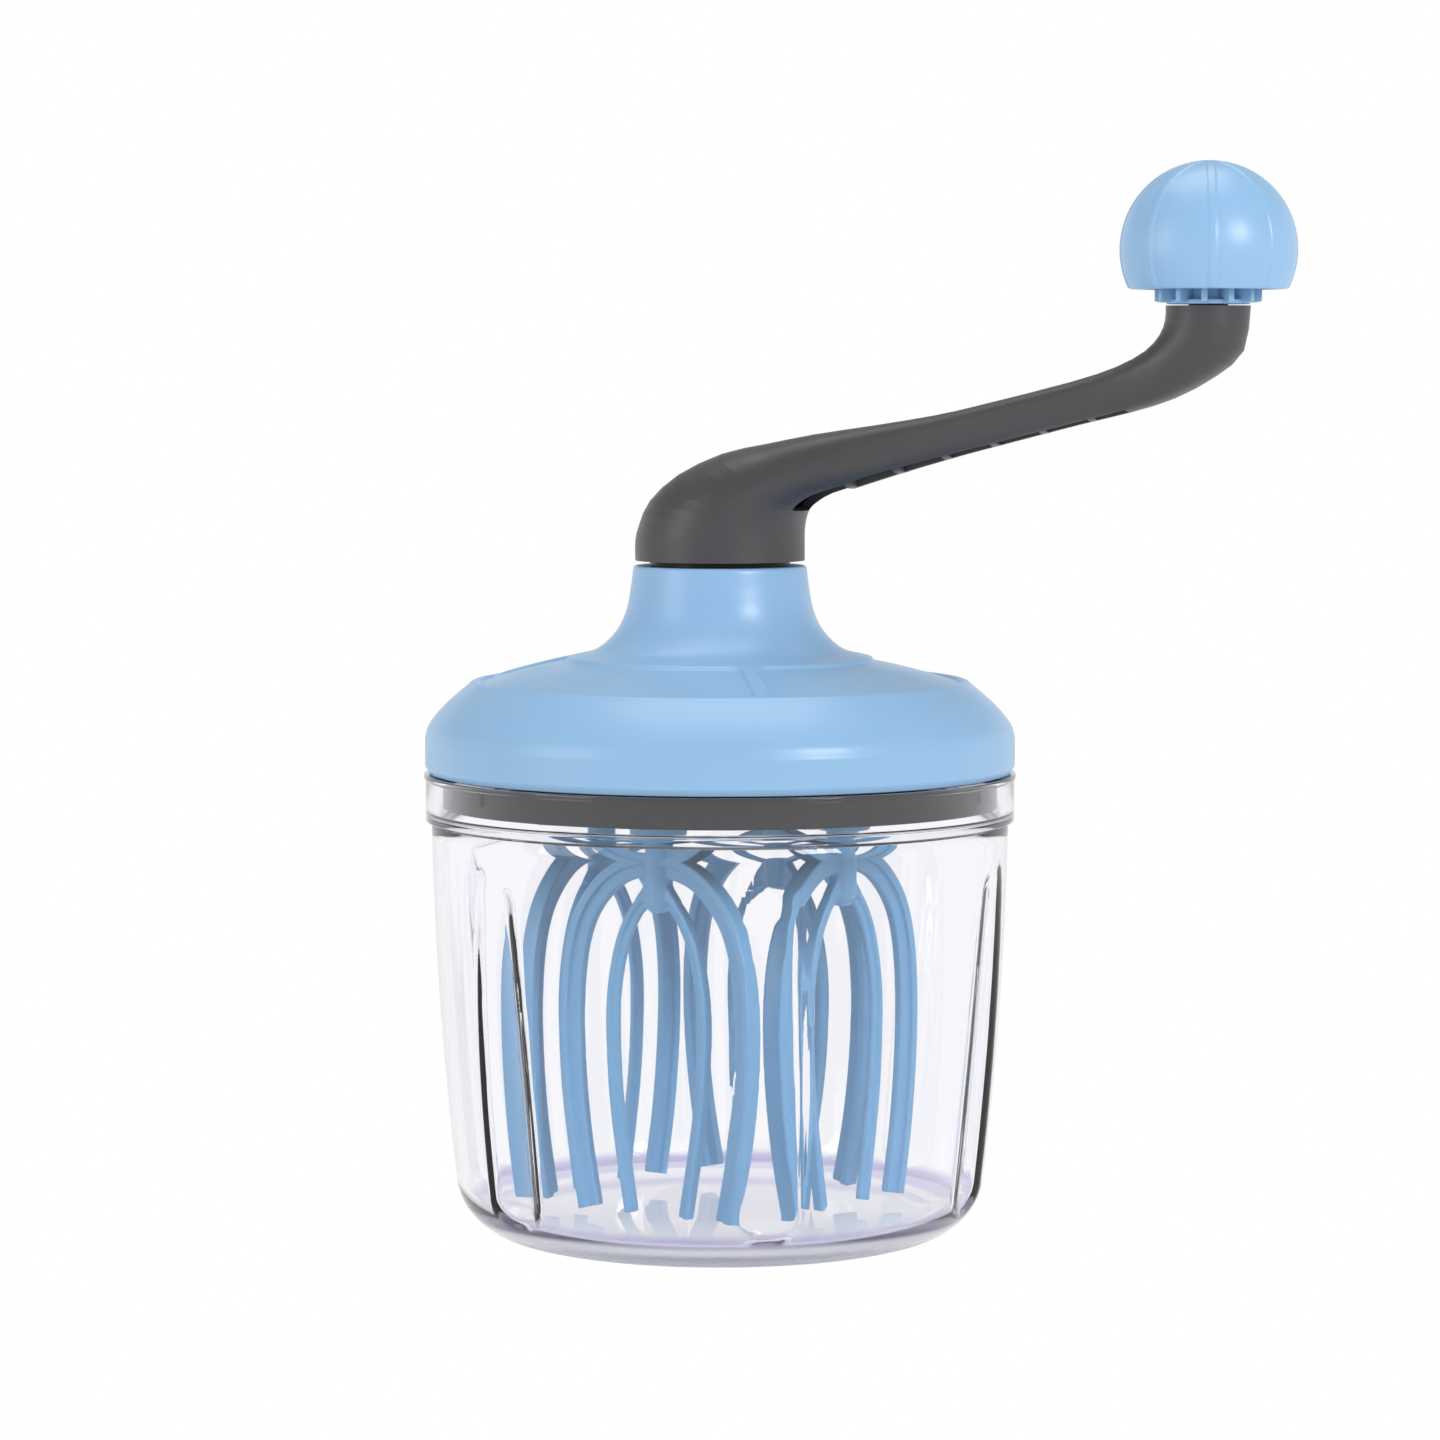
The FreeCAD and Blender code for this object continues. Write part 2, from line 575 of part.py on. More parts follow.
def make_shaft_screw():
    """Screw that holds the shaft in the carrier from below."""
    seat = SHAFT_SCREW_HEAD_Z + SHAFT_SCREW_HEAD
    head = rod(SHAFT_SCREW_HEAD_R, SHAFT_SCREW_HEAD_Z, seat)
    shank = rod(SHAFT_SCREW_R, seat, SHAFT_LOW_Z + SHAFT_SCREW_LENGTH)
    length, width, depth = SCREW_SLOT
    slot_top = SHAFT_SCREW_HEAD_Z + depth / 2
    cross = [block(length, width, BELOW, slot_top), block(width, length, BELOW, slot_top)]
    return head.fuse(shank).cut(cross).removeSplitter()


def make_shaft_washer():
    low = SHAFT_SCREW_HEAD_Z + SHAFT_SCREW_HEAD
    return tube(SHAFT_WASHER_R, SHAFT_SCREW_R, low, low + SHAFT_WASHER)


def make_thrust_washer():
    """Slippery ring between the lid's neck and the crank's hub."""
    return tube(WASHER_R, SHAFT_R + GAP, LID_TOP_Z, HUB_LOW_Z - GAP)


# ---- crank --------------------------------------------------------------------------------

def squared(value, power):
    """Sine or cosine bent towards a rounded square."""
    return math.copysign(abs(value) ** (2.0 / power), value)


def between(before, start, end, after):
    """Row half way along a smooth curve from start to end."""
    return tuple((9 * (b + c) - a - d) / 16 for a, b, c, d in zip(before, start, end, after))


def smoothed(rows):
    """The same rows, with a new one between each two."""
    first = tuple(2 * a - b for a, b in zip(rows[0], rows[1]))
    last = tuple(2 * a - b for a, b in zip(rows[-1], rows[-2]))
    padded = [first] + rows + [last]
    result = []
    for before, start, end, after in zip(padded, padded[1:], padded[2:], padded[3:]):
        result += [start, between(before, start, end, after)]
    return result + [rows[-1]]


def crank_section(row, inset=0.0, widest=HUB_R, drop=0.0):
    """Closed outline of the crank at a station. It can be inset, limited in width, and lowered below."""
    top_x, top_z, bottom_x, bottom_z, half_width, power = row
    up = V(top_x - bottom_x, 0, top_z - bottom_z)
    half_height = up.Length / 2
    up.normalize()
    middle = V((top_x + bottom_x) / 2, 0, (top_z + bottom_z) / 2)
    places = []
    for k in range(SECTION_POINTS):
        turn = 2 * math.pi * k / SECTION_POINTS
        side = squared(math.cos(turn), power) * min(half_width - inset, widest)
        rise = squared(math.sin(turn), power) * (half_height - inset)
        if rise < 0:
            rise -= drop
        places.append(middle.add(up * rise).add(V(0, side, 0)))
    curve = Part.BSplineCurve()
    curve.interpolate(places, PeriodicFlag=True)
    return curve.toShape()


def crank_skin(rows, *shape):
    """Solid through the sections of some stations, made of short ruled strips."""
    edges = [crank_section(row, *shape) for row in rows]
    strips = [Part.makeRuledSurface(a, b) for a, b in zip(edges, edges[1:])]
    ends = [Part.Face(Part.Wire([edge])) for edge in (edges[0], edges[-1])]
    shell = Part.makeShell(strips + ends)
    shell.sewShape()
    return Part.makeSolid(shell)


def make_crank_arm():
    """Hub and arm in one sweep, hollow, with a spine and cross ribs in a channel that is open below."""
    rows = smoothed(CRANK_STATIONS)
    hub_rows = [row for row in rows if row[0] < HUB_HOLLOW_X]
    channel_rows = [row for row in rows if CHANNEL_FIRST_X < row[0] < CHANNEL_LAST_X]
    outside = crank_skin(rows)
    hollow = crank_skin(hub_rows, CRANK_WALL)
    channel = crank_skin(channel_rows, CRANK_WALL + CHANNEL_LIP, CHANNEL_HALF, CHANNEL_DROP)
    ribs = [outside.common(block(ARM_RIB, 2 * HUB_R, BELOW, ABOVE, ARM_RIB_FIRST + k * ARM_RIB_PITCH))
            for k in range(ARM_RIB_COUNT)]
    spine_length = (ARM_RIB_COUNT - 1) * ARM_RIB_PITCH
    spine = outside.common(block(spine_length, ARM_SPINE, BELOW, ABOVE, ARM_RIB_FIRST + spine_length / 2))
    boss = rod(HUB_BOSS_R, HUB_LOW_Z, HUB_BOSS_TOP_Z)
    spigot = rod(SPIGOT_R, POST_TOP_Z - 2, SPIGOT_TOP_Z, POST_X)
    solid = outside.cut(hollow).cut(channel).fuse(ribs + [spine]).fuse([boss, spigot])
    flats = double_flat(SHAFT_R, SHAFT_FLAT, HUB_LOW_Z, SHAFT_TOP_Z)
    return solid.cut([flats, rod(SCREW_R, POST_TOP_Z, ABOVE, POST_X)])


# ---- knob ---------------------------------------------------------------------------------

def make_knob_shell():
    """Hollow ball, cut flat below, with thin raised seams."""
    centre = V(0, 0, KNOB_CENTRE_Z)
    ball = Part.makeSphere(KNOB_R, centre)
    proud = Part.makeSphere(KNOB_R + KNOB_SEAM_RISE, centre)
    band = proud.common(block(3 * KNOB_R, KNOB_SEAM, BELOW, ABOVE))
    seams = [turned(band, KNOB_SEAM_FIRST + 180.0 * k / KNOB_SEAMS) for k in range(KNOB_SEAMS)]
    solid = ball.fuse(seams).cut(Part.makeSphere(KNOB_R - KNOB_WALL, centre))
    solid = solid.cut(rod(2 * KNOB_R, BELOW, KNOB_CUT_Z))
    return moved(solid.removeSplitter(), POST_X, 0)


def make_knob_hub():
    """Tube that turns on the crank's spigot, with radial fins that carry the ball."""
    low = POST_TOP_Z + GAP
    tube_part = rod(KNOB_TUBE_R, low, SPIGOT_TOP_Z - 2 * GAP)
    skirt = rod(KNOB_RING_R, low, KNOB_RING_Z)
    disc = rod(KNOB_DISC_R, KNOB_DISC_LOW_Z, KNOB_DISC_TOP_Z)
    fins = [turned(block(FIN_R, FIN_THICK, low, KNOB_DISC_LOW_Z, FIN_R / 2), angle)
            for angle in ring_angles(HUB_FINS, HUB_FIN_FIRST)]
    solid = tube_part.fuse([skirt, disc] + fins).cut(rod(SPIGOT_R + FIT, BELOW, ABOVE)).removeSplitter()
    return moved(solid, POST_X, 0)


def make_knob_washer():
    return tube(KNOB_WASHER_R, SCREW_R, SPIGOT_TOP_Z, SPIGOT_TOP_Z + KNOB_WASHER, POST_X)


def make_knob_screw():
    seat = SPIGOT_TOP_Z + KNOB_WASHER
    return screw(POST_X, 0, seat, seat - KNOB_SCREW_LENGTH, upward=False)


# ---- whisks -------------------------------------------------------------------------------

def tine(pairs, section, mirror):
    """One tine: a T section, crossbar outwards, swept along a curved line in the paddle's plane."""
    width, bar, depth, web = section
    curve = Part.BSplineCurve()
    curve.interpolate([V(mirror * u, 0, z) for u, z in pairs])
    path = Part.Wire(curve.toShape())
    start, ahead = curve.value(curve.FirstParameter), curve.tangent(curve.FirstParameter)[0]
    outward = V(0, 1, 0).cross(ahead).normalize() * -mirror
    half = width / 2
    outline = [(half, depth / 2), (half, -depth / 2), (half - bar, -depth / 2), (half - bar, -web / 2),
               (-half, -web / 2), (-half, web / 2), (half - bar, web / 2), (half - bar, depth / 2)]
    corners = [start.add(outward * out).add(V(0, side, 0)) for out, side in outline]
    profile = Part.makePolygon(corners + corners[:1])
    return path.makePipeShell([profile], True, False)


def make_whisk(number):
    """Four-tined fork with a collar and a square plug that pushes up into its planet gear."""
    plug = block(WHISK_PLUG, WHISK_PLUG, WHISK_COLLAR_LOW_Z, WHISK_PLUG_TOP_Z)
    collar = rod(WHISK_COLLAR_R, WHISK_COLLAR_LOW_Z, WHISK_COLLAR_TOP_Z)
    stem = rod(STEM_R, STEM_LOW_Z, WHISK_COLLAR_LOW_Z)
    tines = [tine(OUTER_LINE, OUTER_TINE, mirror) for mirror in (1, -1)]
    tines += [tine(INNER_LINE, INNER_TINE, mirror) for mirror in (1, -1)]
    fork = stem.fuse(tines)
    solid = turned(fork, PADDLE_EVEN + 90 * (number % 2)).fuse([collar, turned(plug, PLANET_FIRST)])
    return moved(solid, *round_axis(ORBIT_R, PLANET_FIRST + 90 * number))


# ---- all pieces ----------------------------------------------------------------------------

def all_pieces():
    pieces = {
        "bowl": make_bowl(),
        "lid_dome": make_lid_dome(),
        "collar_ring": make_collar_ring(),
        "lid_screws": make_lid_screws(),
        "upper_bush": make_bush(LID_TOP_Z - BUSH_LENGTH, LID_TOP_Z - BUSH_FLANGE),
        "lower_bush": make_bush(BUSH_LOW_Z, BUSH_LOW_Z),
        "thrust_washer": make_thrust_washer(),
        "ring_gear": make_ring_gear(),
        "carrier_plate": make_carrier_plate(),
        "carrier_cover": make_carrier_cover(),
        "carrier_screws": make_carrier_screws(),
        "drive_shaft": make_drive_shaft(),
        "shaft_screw": make_shaft_screw(),
        "shaft_washer": make_shaft_washer(),
        "crank_arm": make_crank_arm(),
        "knob_shell": make_knob_shell(),
        "knob_hub": make_knob_hub(),
        "knob_washer": make_knob_washer(),
        "knob_screw": make_knob_screw(),
    }
    for number in range(PLANET_COUNT):
        name = str(number + 1)
        pieces["planet_gear_" + name] = make_planet_gear(PLANET_FIRST + 90 * number)
        pieces["whisk_" + name] = make_whisk(number)
    return pieces


os.makedirs("parts", exist_ok=True)
for node, shape in all_pieces().items():
    print(node, shape.isValid(), len(shape.Solids), round(shape.Volume, 1))
    shape.exportStep("parts/" + node + ".step")
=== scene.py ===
import json
import math

import bpy
from mathutils import Matrix, Vector


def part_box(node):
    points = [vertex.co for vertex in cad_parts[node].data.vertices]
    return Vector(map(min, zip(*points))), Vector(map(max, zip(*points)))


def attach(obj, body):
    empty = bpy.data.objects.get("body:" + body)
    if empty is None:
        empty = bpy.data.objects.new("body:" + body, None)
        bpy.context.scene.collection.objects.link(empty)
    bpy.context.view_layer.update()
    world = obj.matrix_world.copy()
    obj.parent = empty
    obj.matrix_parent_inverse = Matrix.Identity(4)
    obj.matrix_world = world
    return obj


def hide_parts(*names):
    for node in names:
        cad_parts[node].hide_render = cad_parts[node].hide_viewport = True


# Looks of a hand-cranked egg beater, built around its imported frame. Shapes are worked out in
# millimetres, and MM turns them into Blender's metres. Materials and the studio are in metres.

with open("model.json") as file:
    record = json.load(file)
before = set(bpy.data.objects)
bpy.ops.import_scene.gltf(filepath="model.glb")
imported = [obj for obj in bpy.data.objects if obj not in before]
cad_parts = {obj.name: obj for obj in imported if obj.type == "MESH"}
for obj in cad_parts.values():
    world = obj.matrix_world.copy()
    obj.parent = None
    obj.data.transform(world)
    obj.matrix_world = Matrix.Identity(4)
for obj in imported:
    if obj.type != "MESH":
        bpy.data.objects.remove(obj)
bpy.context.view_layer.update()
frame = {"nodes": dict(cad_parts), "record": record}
MM = 0.001


def cad_box(node):
    """Lowest and highest corner of a CAD node, in millimetres."""
    low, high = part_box(node)
    return low / MM, high / MM


# ---- sizes taken from the frame ----------------------------------------------------------------

BOWL_TOP = cad_box("bowl")[1].z
BOWL_LIP_R = cad_box("bowl")[1].y
LID_LOW, LID_TOP = cad_box("lid_dome")[0].z, cad_box("lid_dome")[1].z
LID_R = cad_box("lid_dome")[1].y
COLLAR_LOW, COLLAR_TOP = cad_box("collar_ring")[0].z, cad_box("collar_ring")[1].z
KNOB_TOP = cad_box("knob_shell")[1].z
KNOB_CUT = cad_box("knob_shell")[0].z
HUB_LOW, HUB_TOP = cad_box("knob_hub")[0].z, cad_box("knob_hub")[1].z
POST_X = (cad_box("knob_hub")[0].x + cad_box("knob_hub")[1].x) / 2
WHISK_TIP, WHISK_TOP = cad_box("whisk_1")[0].z, cad_box("whisk_1")[1].z

# bowl
BOWL_FOOT_R, BOWL_CORNER, BOWL_WALL, BOWL_FLOOR = 48.0, 15.0, 2.5, 5.0
BOWL_WAIST_R, BOWL_SHOULDER_R = 66.7, 68.5
RIM_R, RIM_INNER_R, RIM_LOW, SEAT = 69.9, 67.0, 99.0, 101.3
FLUTES, FLUTE_R, FLUTE_BLEND, FLUTE_DENT = 6, 14.0, 1.2, 0.88
FLUTE_LOW, FLUTE_LOW_DEPTH, FLUTE_TOP, FLUTE_TOP_DEPTH = 13.0, 3.3, 82.0, 1.4

# lid
PANELS, PANEL_FIRST_RIB, PANEL_RIB = 3, -60.0, 3.5
PANEL_IN, PANEL_OUT, PANEL_DEPTH, PANEL_CORNER = 36.4, 57.2, 0.8, 3.0
BEAD_R, BEAD_HALF, BEAD_RISE = 58.6, 1.2, 0.4
NECK_R, BOSS_HOLE_R, BOSS_R, BOSS_LOW = 20.6, 6.0, 8.5, 117.0

# collar
COLLAR_R, COLLAR_INNER_R, COLLAR_HOLE_R, COLLAR_FLOOR = 66.0, 63.6, 53.0, 2.5
SNAPS, SNAP_FIRST = 3, -6.0
SNAP_SIZE, SNAP_SUNK, SNAP_Z = (2.0, 5.0, 3.2), 0.3, 106.8

# knob
KNOB_R, KNOB_WALL = 20.0, 2.2
SEAMS, SEAM_HALF, SEAM_RISE, SEAM_FIRST = 8, 0.85, 0.25, 62.0
KNOB_MIDDLE = KNOB_TOP - KNOB_R - SEAM_RISE
FINS, FIN_IN, FIN_R, FIN_THICK, FIN_FIRST = 12, 5.0, 12.2, 1.4, 10.0
KNOB_DISC_R = 15.5
KNOB_RING_R, KNOB_RING_TOP, KNOB_TUBE_R, SPIGOT_HOLE_R = 9.6, 221.6, 7.0, 4.56

# whisks
ORBIT_R, FIRST_WHISK, PADDLE = 32.0, -6.4, 72.0
STEM_R, STEM_LOW, SHOULDER_LOW, SHOULDER_TOP, SHOULDER_R = 3.4, 81.0, 97.6, 100.4, 6.6
PLUG = 6.2
CROTCH_ROWS = [(92, 2.6), (89, 2.7), (87, 3.1), (85.4, 3.9), (84, 5.0), (82.6, 6.2)]   # height, half width
CROTCH_THICK = 1.5
MELT_VOXEL, MELT_ROUNDS = 0.3, 2
OUTER_LINE = [(0, 91.4), (11, 88.3), (19.2, 81), (23.6, 71.5), (25.4, 58), (25.1, 42), (23.2, 25),
              (20, WHISK_TIP)]
INNER_LINE = [(0, 83.5), (4.5, 81.5), (8, 77), (10.8, 70.5), (12.9, 60), (13.1, 48), (11.8, 32),
              (7.8, WHISK_TIP)]
OUTER_TINE = (5.4, 2.4, 4.4, 2.2)   # width, crossbar, its depth, web thickness
INNER_TINE = (3.2, 1.5, 2.8, 1.4)

# how finely the round pieces are divided
CORNER_STEPS = 5
BOWL_SIDES, LID_SIDES, COLLAR_SIDES, BALL_SIDES, FIN_SIDES = 480, 900, 240, 480, 160
STEM_SIDES, SHOULDER_SIDES = 48, 64


# ---- outlines ----------------------------------------------------------------------------------

def mix(a, b, t):
    return a + (b - a) * t


def clamp(value, low=0.0, high=1.0):
    return max(low, min(high, value))


def smooth(edge_a, edge_b, value):
    """0 before the first edge, 1 past the second, with an S between."""
    t = clamp((value - edge_a) / (edge_b - edge_a))
    return t * t * (3 - 2 * t)


def arc(centre, radius, start, end, steps=12):
    """Points on an arc, angles in degrees."""
    angles = [math.radians(mix(start, end, k / steps)) for k in range(steps + 1)]
    return [(centre[0] + radius * math.cos(a), centre[1] + radius * math.sin(a)) for a in angles]


def around(radius, angle):
    """Point on a circle about the origin, angle in degrees."""
    return radius * math.cos(math.radians(angle)), radius * math.sin(math.radians(angle))


def arc_through(a, b, c, steps=24):
    """Points on the circle through three points, from the first to the last."""
    d = 2 * (a[0] * (b[1] - c[1]) + b[0] * (c[1] - a[1]) + c[0] * (a[1] - b[1]))
    squares = [p[0] ** 2 + p[1] ** 2 for p in (a, b, c)]
    x = (squares[0] * (b[1] - c[1]) + squares[1] * (c[1] - a[1]) + squares[2] * (a[1] - b[1])) / d
    y = (squares[0] * (c[0] - b[0]) + squares[1] * (a[0] - c[0]) + squares[2] * (b[0] - a[0])) / d
    radius = math.hypot(a[0] - x, a[1] - y)
    first = math.degrees(math.atan2(a[1] - y, a[0] - x))
    sweep = math.degrees(math.atan2(c[1] - y, c[0] - x)) - first
    sweep = (sweep + 180) % 360 - 180
    return arc((x, y), radius, first, first + sweep, steps)


def curve(points, steps=8):
    """Smooth line through points of any dimension."""
    spots = [Vector(p) for p in points]
    spots = [2 * spots[0] - spots[1]] + spots + [2 * spots[-1] - spots[-2]]
    line = []
    for p0, p1, p2, p3 in zip(spots, spots[1:], spots[2:], spots[3:]):
        for k in range(steps):
            t = k / steps
            line.append(0.5 * (2 * p1 + (p2 - p0) * t + (2 * p0 - 5 * p1 + 4 * p2 - p3) * t * t
                               + (3 * p1 - p0 - 3 * p2 + p3) * t ** 3))
    line.append(spots[-2])
    return [tuple(p) for p in line]


def rounded(corners, steps=CORNER_STEPS):
    """Closed outline whose corners (x, y, radius) are rounded off."""
    outline = []
    for k, (x, y, radius) in enumerate(corners):
        if radius == 0:
            outline.append((x, y))
            continue
        here = Vector((x, y))
        back = Vector(corners[k - 1][:2]) - here
        ahead = Vector(corners[(k + 1) % len(corners)][:2]) - here
        half = back.angle(ahead) / 2
        reach = min(radius / math.tan(half), 0.49 * back.length, 0.49 * ahead.length)
        radius = reach * math.tan(half)
        back.normalize()
        ahead.normalize()
        centre = here + (back + ahead).normalized() * (radius / math.sin(half))
        first = here + back * reach - centre
        last = here + ahead * reach - centre
        start = math.degrees(math.atan2(first.y, first.x))
        sweep = (math.degrees(math.atan2(last.y, last.x)) - start + 180) % 360 - 180
        outline += arc(centre, radius, start, start + sweep, steps)
    return outline


# ---- meshes ------------------------------------------------------------------------------------

def make_object(name, verts, faces):
    """Smooth-shaded mesh object from points in millimetres."""
    mesh = bpy.data.meshes.new(name)
    mesh.from_pydata([Vector(v) * MM for v in verts], [], faces)
    mesh.validate()
    for polygon in mesh.polygons:
        polygon.use_smooth = True
    obj = bpy.data.objects.new(name, mesh)
    bpy.context.scene.collection.objects.link(obj)
    return obj


def lathe(name, outline, count, bend=None, closed=True):
    """Closed outline of (radius, height) spun about Z. bend moves a point (angle, radius, height, row)."""
    verts, rings = [], []
    for row, (radius, height) in enumerate(outline):
        if radius < 1e-6:
            rings.append([len(verts)] * count)
            verts.append((0, 0, height))
            continue
        rings.append(list(range(len(verts), len(verts) + count)))
        for k in range(count):
            angle = 2 * math.pi * k / count
            r, z = bend(angle, radius, height, row) if bend else (radius, height)
            verts.append((r * math.cos(angle), r * math.sin(angle), z))
    faces = []
    pairs = list(zip(rings, rings[1:])) + ([(rings[-1], rings[0])] if closed else [])
    for lower, upper in pairs:
        for k in range(count):
            n = (k + 1) % count
            face = [lower[k], lower[n], upper[n], upper[k]]
            faces.append(tuple(dict.fromkeys(face)))
    return make_object(name, verts, faces)


def loft(name, sections):
    """Skin over a list of closed sections with equal point counts, capped at both ends."""
    count = len(sections[0])
    verts = [p for section in sections for p in section]
    faces = []
    for row in range(len(sections) - 1):
        for k in range(count):
            n = (k + 1) % count
            a, b = row * count, (row + 1) * count
            faces.append((a + k, a + n, b + n, b + k))
    faces.append(tuple(reversed(range(count))))
    faces.append(tuple(range(len(verts) - count, len(verts))))
    return make_object(name, verts, faces)


def bar(name, size, middle, turn=0.0, edge=0.3):
    """Upright box with rounded edges, turned about Z."""
    x, y, z = (s / 2 for s in size)
    outline = rounded([(x, y, edge), (-x, y, edge), (-x, -y, edge), (x, -y, edge)], 3)
    rows = [(-z, 1 - edge / min(x, y)), (edge - z, 1.0), (z - edge, 1.0), (z, 1 - edge / min(x, y))]
    obj = loft(name, [[(px * s, py * s, h) for px, py in outline] for h, s in rows])
    obj.data.transform(Matrix.Translation(Vector(middle) * MM) @ Matrix.Rotation(math.radians(turn), 4, "Z"))
    return obj


def join(name, pieces):
    """One object from several meshes."""
    with bpy.context.temp_override(active_object=pieces[0], selected_editable_objects=pieces):
        bpy.ops.object.join()
    pieces[0].name = name
    pieces[0].data.name = name
    return pieces[0]


def modified(obj):
    """Bakes an object's modifiers into its mesh."""
    graph = bpy.context.evaluated_depsgraph_get()
    mesh = bpy.data.meshes.new_from_object(obj.evaluated_get(graph))
    obj.modifiers.clear()
    obj.data = mesh
    return obj


def moulded(obj, voxel, smoothing):
    """Melts overlapping pieces into one skin with soft inner corners, as in a mould."""
    remesh = obj.modifiers.new("melt", "REMESH")
    remesh.mode = "VOXEL"
    remesh.voxel_size = voxel * MM
    soften = obj.modifiers.new("soften", "SMOOTH")
    soften.factor = 0.5
    soften.iterations = smoothing
    modified(obj)
    for polygon in obj.data.polygons:
        polygon.use_smooth = True
    return obj


def weighted(obj):
    """Normals that follow the large faces, so that narrow rounds shade cleanly."""
    obj.modifiers.new("normals", "WEIGHTED_NORMAL").keep_sharp = True
    return obj


# ---- bowl --------------------------------------------------------------------------------------

LEAN = 8.0             # degrees that the wall leans out where it leaves the corner
INNER_CORNER = 9.5
RIM_TURN = 7           # corners of the rim before the outline is on the inside


def bowl_outline():
    """Outline of the bowl's section, and the number of its points before the inside."""
    outer = [(0, 0)] + [(BOWL_FOOT_R * k / 4, 0) for k in (1, 2, 3)]
    outer += arc((BOWL_FOOT_R, BOWL_CORNER), BOWL_CORNER, -90, -LEAN, 20)
    outer += arc_through(outer[-1], (BOWL_WAIST_R, BOWL_TOP / 2), (BOWL_SHOULDER_R, RIM_LOW - 0.8), 30)[1:]
    rim = [(BOWL_SHOULDER_R, RIM_LOW - 0.8, 0.3), (RIM_R, RIM_LOW, 0.3), (RIM_R, BOWL_TOP - 1.4, 0.3),
           (BOWL_LIP_R, BOWL_TOP - 1.0, 0.3), (BOWL_LIP_R, BOWL_TOP, 0.4), (RIM_INNER_R, BOWL_TOP, 0.6),
           (RIM_INNER_R, SEAT, 0.3), (BOWL_SHOULDER_R - BOWL_WALL, SEAT - 0.6, 0.3)]
    wall_foot = BOWL_FOOT_R + BOWL_CORNER - BOWL_WALL
    floor_r = wall_foot - INNER_CORNER
    inner = arc((floor_r, BOWL_FLOOR + INNER_CORNER), INNER_CORNER, -LEAN, -90, 16)
    waist = (BOWL_WAIST_R - BOWL_WALL, BOWL_TOP / 2)
    wall = arc_through((BOWL_SHOULDER_R - BOWL_WALL, SEAT - 1.2), waist, inner[0], 70)
    outline = outer + rounded(rim) + wall + inner[1:]
    outline += [(floor_r * k / 6, BOWL_FLOOR) for k in (5, 4, 3, 2, 1, 0)]
    return outline, len(outer) + RIM_TURN * (CORNER_STEPS + 1)


def flute_rise(angle, wall, height):
    """How far a flute brings the inner wall in."""
    level = clamp((height - FLUTE_LOW) / (FLUTE_TOP - FLUTE_LOW))
    depth = mix(FLUTE_LOW_DEPTH, FLUTE_TOP_DEPTH, level)
    upright = mix(BOWL_FOOT_R + BOWL_CORNER, BOWL_SHOULDER_R - 0.4, level) - BOWL_WALL
    past = max(height - FLUTE_TOP, FLUTE_LOW - height, 0)
    pitch = 2 * math.pi / FLUTES
    off = (angle + pitch / 2) % pitch - pitch / 2
    centre = upright - depth + FLUTE_R
    inside = FLUTE_R ** 2 - past ** 2 - (centre * math.sin(off)) ** 2
    if inside <= 0:
        return 0.0
    near = centre * math.cos(off) - math.sqrt(inside)
    share = clamp(0.5 + 0.5 * (near - wall) / FLUTE_BLEND)
    return max(0.0, (1 - share) * (wall - near) + FLUTE_BLEND * share * (1 - share) / 2)


def fluted(angle, radius, height, row, inside_from):
    """Brings the inner wall in over a flute, and the outer wall a little way after it."""
    if height > SEAT - 1:
        return radius, height
    if row < inside_from:
        return radius - FLUTE_DENT * flute_rise(angle, radius - BOWL_WALL, height), height
    return radius - flute_rise(angle, radius, height), height


def make_bowl():
    outline, inside_from = bowl_outline()
    return lathe("bowl_shell", outline, BOWL_SIDES, lambda *spot: fluted(*spot, inside_from), closed=False)


# ---- lid ---------------------------------------------------------------------------------------

def dome_line():
    """The lid's outer curve, from its side up over the dome to the neck's top."""
    shoulder = curve([(LID_R, 118.4), (69.1, 121.4), (66.4, 124.9), (63.2, 128.0), (59.6, 131.0)], 8)
    top = curve([(59.6, 131.0), (53.0, 133.2), (44.0, 135.6), (35.5, 137.5)], 26)
    neck = curve([(35.5, 137.5), (29.4, 139.2), (24.8, 143.3), (22.3, 148.2), (21.2, 153.6),
                  (NECK_R, LID_TOP - 0.7)], 8)
    return shoulder + top[1:] + neck[1:]


def panelled(angle, radius, height, row):
    """Sinks the three panels into the dome and raises the bead round them."""
    if height < 130 or not 34 < radius < 61:
        return radius, height
    pitch = 2 * math.pi / PANELS
    off = (angle - math.radians(PANEL_FIRST_RIB)) % pitch - pitch / 2
    half_u = radius * pitch / 2 - PANEL_RIB / 2
    half_v = (PANEL_OUT - PANEL_IN) / 2
    u = abs(radius * off) - half_u + PANEL_CORNER
    v = abs(radius - (PANEL_OUT + PANEL_IN) / 2) - half_v + PANEL_CORNER
    distance = math.hypot(max(u, 0), max(v, 0)) + min(max(u, v), 0) - PANEL_CORNER
    sink = PANEL_DEPTH * smooth(0.3, -0.3, distance)
    rise = BEAD_RISE * smooth(BEAD_HALF, 0.3, abs(radius - BEAD_R))
    return radius, height - sink + rise


